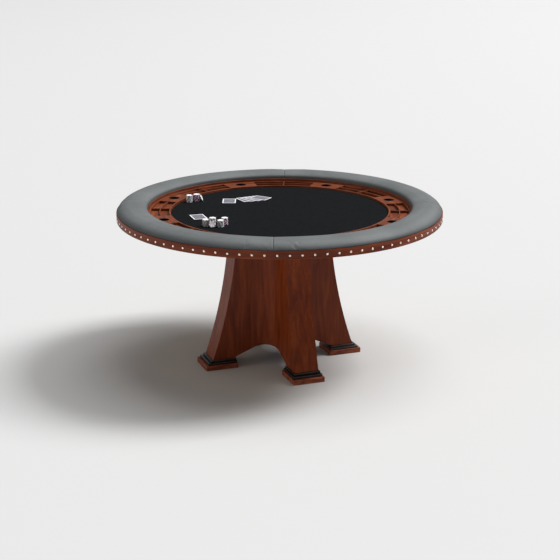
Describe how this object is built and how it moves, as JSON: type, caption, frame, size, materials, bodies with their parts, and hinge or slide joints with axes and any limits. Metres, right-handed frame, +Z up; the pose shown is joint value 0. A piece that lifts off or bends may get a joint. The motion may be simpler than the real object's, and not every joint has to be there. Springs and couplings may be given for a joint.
{
  "type": "poker table",
  "caption": "Round pedestal poker table: padded rail, ring of chip trays and cup liners, felt playing surface, flared crossed legs on stepped feet.",
  "frame": {"origin": "on the floor under the table's centre", "axes": "+Z up; -Y is the front; a rail seam lies on each of the X and Y axes"},
  "size_m": [1.5, 1.4996, 0.7623],
  "materials": {
    "lacquered_wood": "gloss lacquer",
    "black_lacquer": "gloss lacquer",
    "plinth_wood": "satin lacquer",
    "racetrack_wood": "gloss lacquer",
    "plywood": "sanded",
    "core_timber": "sawn",
    "rail_leather": "soft vinyl",
    "felt": "napped cloth",
    "nail_brass": "polished",
    "black_plastic": "moulded",
    "chip_composite": "moulded",
    "card_stock": "coated card",
    "steel": "zinc plated"
  },
  "bodies": {
    "table": {"apron_nails": "nail_brass", "apron_ring": "lacquered_wood", "arch_soffit": "lacquered_wood", "centre_post": "core_timber", "chip_tray_1": "racetrack_wood", "chip_tray_2": "racetrack_wood", "chip_tray_3": "racetrack_wood", "chip_tray_4": "racetrack_wood", "chip_tray_5": "racetrack_wood", "chip_tray_6": "racetrack_wood", "chip_tray_7": "racetrack_wood", "chip_tray_8": "racetrack_wood", "corner_blocks": "core_timber", "cove_panel_1": "lacquered_wood", "cove_panel_2": "lacquered_wood", "cove_panel_3": "lacquered_wood", "cove_panel_4": "lacquered_wood", "cup_blocks": "racetrack_wood", "deck_board": "plywood", "fasteners": "steel", "felt_cloth": "felt", "foot_mouldings": "black_lacquer", "leg_face_1": "lacquered_wood", "leg_face_2": "lacquered_wood", "leg_face_3": "lacquered_wood", "leg_face_4": "lacquered_wood", "mounting_plate": "plywood", "play_board": "plywood", "plinth_1": "plinth_wood", "plinth_2": "plinth_wood", "plinth_3": "plinth_wood", "plinth_4": "plinth_wood", "rail_base": "plywood", "rail_liner": "racetrack_wood", "rail_pad_1": "rail_leather", "rail_pad_2": "rail_leather", "rail_pad_3": "rail_leather", "rail_pad_4": "rail_leather", "track_lip": "racetrack_wood"},
    "cup_1": {"cup_liner_1": "black_plastic"},
    "cup_2": {"cup_liner_2": "black_plastic"},
    "cup_3": {"cup_liner_3": "black_plastic"},
    "cup_4": {"cup_liner_4": "black_plastic"},
    "cup_5": {"cup_liner_5": "black_plastic"},
    "cup_6": {"cup_liner_6": "black_plastic"},
    "cup_7": {"cup_liner_7": "black_plastic"},
    "cup_8": {"cup_liner_8": "black_plastic"},
    "levelling_foot_1": {"leveller_1": "steel"},
    "levelling_foot_2": {"leveller_2": "steel"},
    "levelling_foot_3": {"leveller_3": "steel"},
    "levelling_foot_4": {"leveller_4": "steel"},
    "chips_far_left_set": {"chips_far_left": "chip_composite"},
    "chips_far_right_set": {"chips_far_right": "chip_composite"},
    "chips_near_left_set": {"chips_near_left": "chip_composite"},
    "chips_near_tall_set": {"chips_near_tall": "chip_composite"},
    "chips_near_right_set": {"chips_near_right": "chip_composite"},
    "chips_near_back_set": {"chips_near_back": "chip_composite"},
    "card_left_set": {"card_left": "card_stock"},
    "card_middle_set": {"card_middle": "card_stock"},
    "card_fan_set": {"card_fan": "card_stock"}
  },
  "joints": [
    {"name": "cup_1_lift", "type": "slide", "parent": "table", "child": "cup_1", "axis": [0, 0, 1], "range_m": [0, 0.09]},
    {"name": "cup_2_lift", "type": "slide", "parent": "table", "child": "cup_2", "axis": [0, 0, 1], "range_m": [0, 0.09]},
    {"name": "cup_3_lift", "type": "slide", "parent": "table", "child": "cup_3", "axis": [0, 0, 1], "range_m": [0, 0.09]},
    {"name": "cup_4_lift", "type": "slide", "parent": "table", "child": "cup_4", "axis": [0, 0, 1], "range_m": [0, 0.09]},
    {"name": "cup_5_lift", "type": "slide", "parent": "table", "child": "cup_5", "axis": [0, 0, 1], "range_m": [0, 0.09]},
    {"name": "cup_6_lift", "type": "slide", "parent": "table", "child": "cup_6", "axis": [0, 0, 1], "range_m": [0, 0.09]},
    {"name": "cup_7_lift", "type": "slide", "parent": "table", "child": "cup_7", "axis": [0, 0, 1], "range_m": [0, 0.09]},
    {"name": "cup_8_lift", "type": "slide", "parent": "table", "child": "cup_8", "axis": [0, 0, 1], "range_m": [0, 0.09]},
    {"name": "leveller_1_screw", "type": "slide", "parent": "table", "child": "levelling_foot_1", "axis": [0, 0, -1], "range_m": [0, 0.012]},
    {"name": "leveller_2_screw", "type": "slide", "parent": "table", "child": "levelling_foot_2", "axis": [0, 0, -1], "range_m": [0, 0.012]},
    {"name": "leveller_3_screw", "type": "slide", "parent": "table", "child": "levelling_foot_3", "axis": [0, 0, -1], "range_m": [0, 0.012]},
    {"name": "leveller_4_screw", "type": "slide", "parent": "table", "child": "levelling_foot_4", "axis": [0, 0, -1], "range_m": [0, 0.012]},
    {"name": "chips_far_left_lift", "type": "slide", "parent": "table", "child": "chips_far_left_set", "axis": [0, 0, 1], "range_m": [0, 0.12]},
    {"name": "chips_far_right_lift", "type": "slide", "parent": "table", "child": "chips_far_right_set", "axis": [0, 0, 1], "range_m": [0, 0.12]},
    {"name": "chips_near_left_lift", "type": "slide", "parent": "table", "child": "chips_near_left_set", "axis": [0, 0, 1], "range_m": [0, 0.12]},
    {"name": "chips_near_tall_lift", "type": "slide", "parent": "table", "child": "chips_near_tall_set", "axis": [0, 0, 1], "range_m": [0, 0.12]},
    {"name": "chips_near_right_lift", "type": "slide", "parent": "table", "child": "chips_near_right_set", "axis": [0, 0, 1], "range_m": [0, 0.12]},
    {"name": "chips_near_back_lift", "type": "slide", "parent": "table", "child": "chips_near_back_set", "axis": [0, 0, 1], "range_m": [0, 0.12]},
    {"name": "card_left_lift", "type": "slide", "parent": "table", "child": "card_left_set", "axis": [0, 0, 1], "range_m": [0, 0.12]},
    {"name": "card_middle_lift", "type": "slide", "parent": "table", "child": "card_middle_set", "axis": [0, 0, 1], "range_m": [0, 0.12]},
    {"name": "card_fan_lift", "type": "slide", "parent": "table", "child": "card_fan_set", "axis": [0, 0, 1], "range_m": [0, 0.12]}
  ]
}
